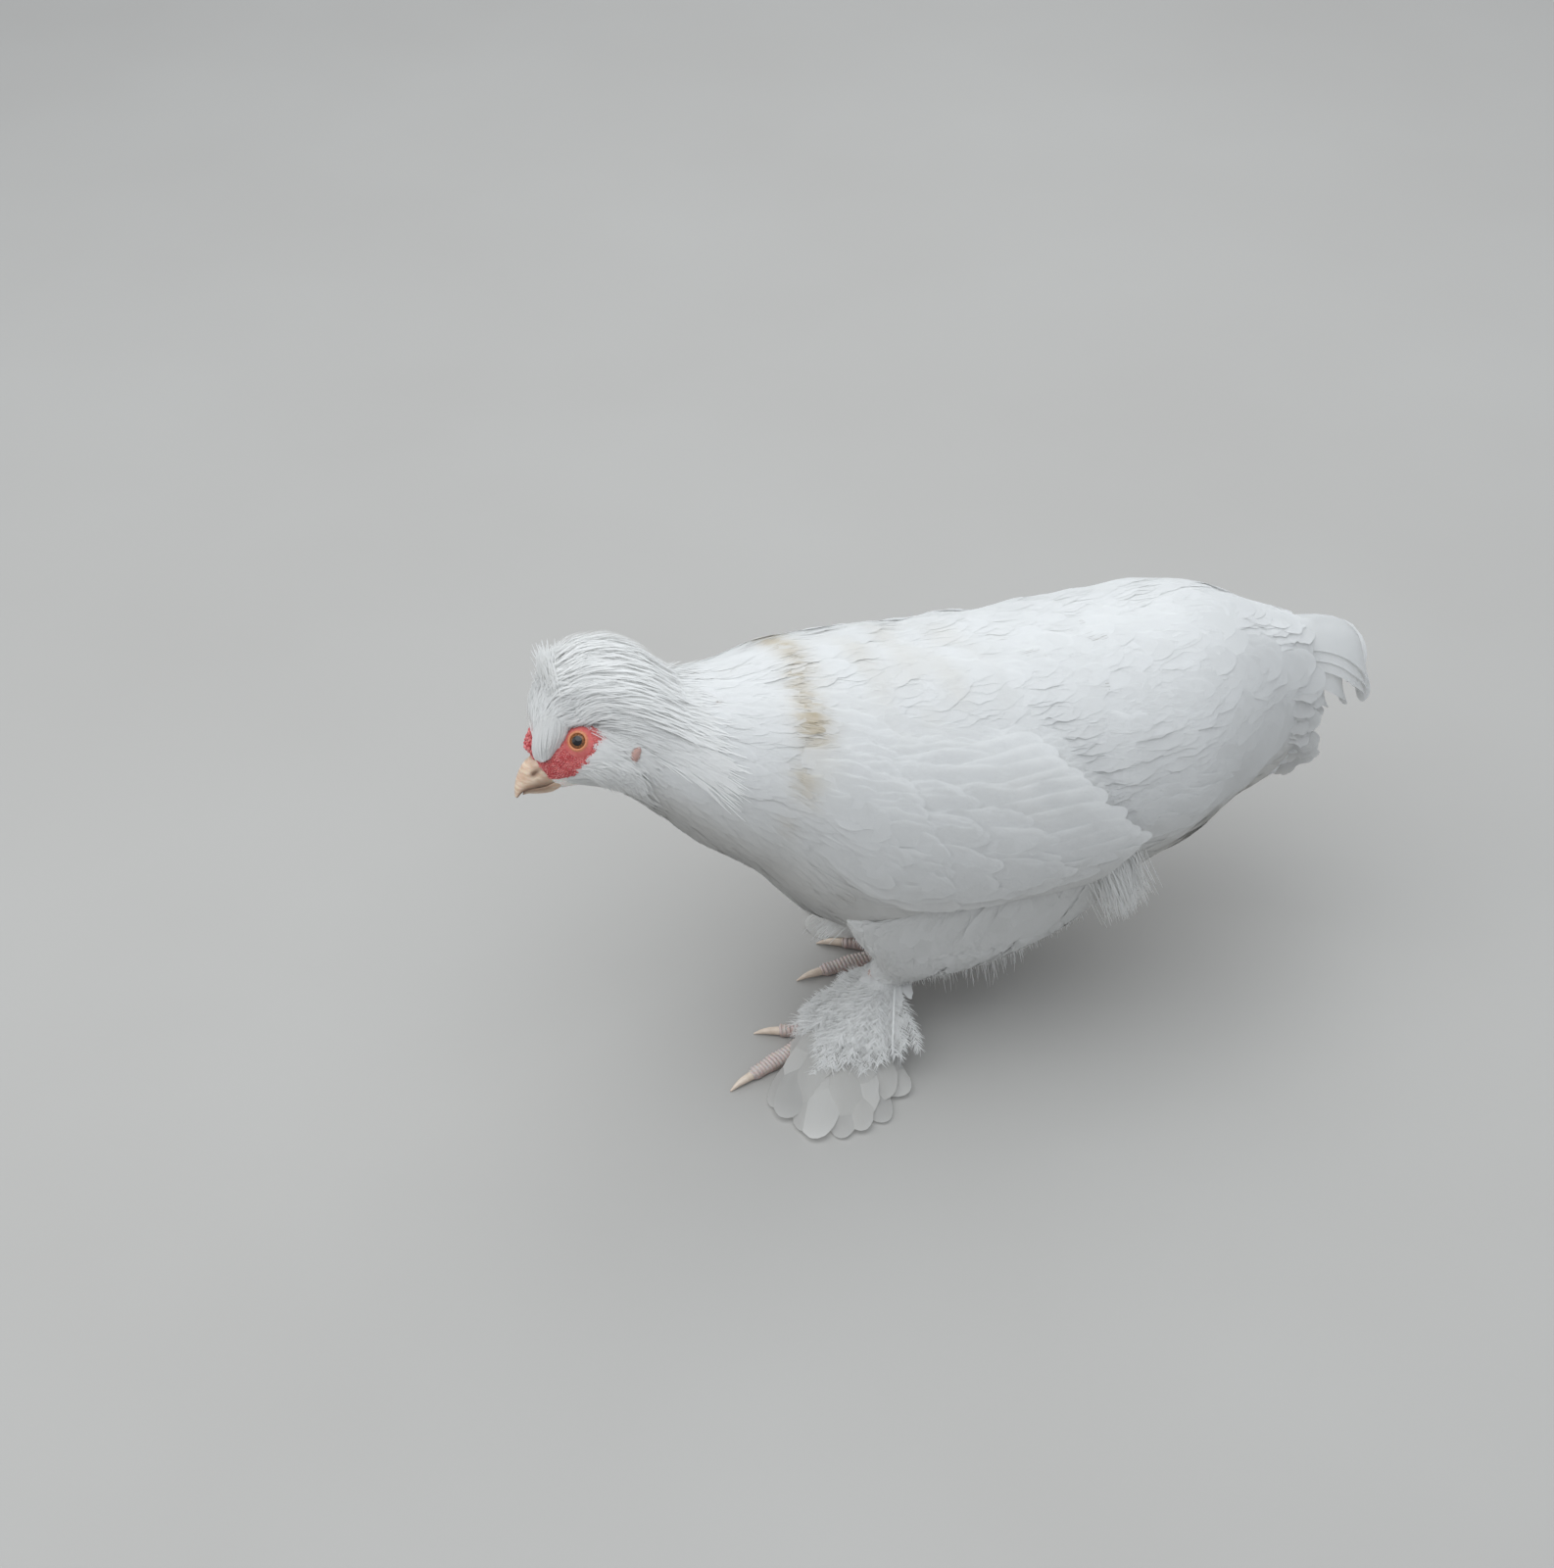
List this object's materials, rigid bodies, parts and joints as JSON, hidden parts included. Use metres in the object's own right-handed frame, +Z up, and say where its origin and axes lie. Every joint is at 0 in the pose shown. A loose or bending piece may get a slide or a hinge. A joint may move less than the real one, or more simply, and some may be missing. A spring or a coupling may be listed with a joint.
{
  "type": "bantam hen",
  "caption": "White crested, feather-legged bantam hen, life size, walking with her head held low; a museum model in one rigid piece.",
  "frame": {"origin": "on the floor, under the middle of the whole bird's length and width", "axes": "-X the way that she faces, -Y her left side, +Z up"},
  "size_m": [0.3736, 0.179, 0.1989],
  "materials": {
    "plumed_flesh": "matte white body feathers over flesh",
    "plumed_foot": "pink scaled toes under white boot feathers",
    "feathers": "satin white feathers",
    "red_skin": "pebbled matte red skin",
    "horn": "pale satin horn",
    "eye": "glossy amber iris with a black pupil"
  },
  "bodies": {
    "root": {"torso": "plumed_flesh", "neck": "plumed_flesh", "head": "plumed_flesh", "thigh_left": "plumed_flesh", "thigh_right": "plumed_flesh", "foot_left": "plumed_foot", "foot_right": "plumed_foot", "crest": "feathers", "tail": "feathers", "wing_left": "feathers", "wing_right": "feathers", "comb": "red_skin", "beak_upper": "horn", "beak_lower": "horn", "claw_left_1": "horn", "claw_left_2": "horn", "claw_left_3": "horn", "claw_left_4": "horn", "claw_right_1": "horn", "claw_right_2": "horn", "claw_right_3": "horn", "claw_right_4": "horn", "eye_left": "eye", "eye_right": "eye"}
  },
  "joints": []
}
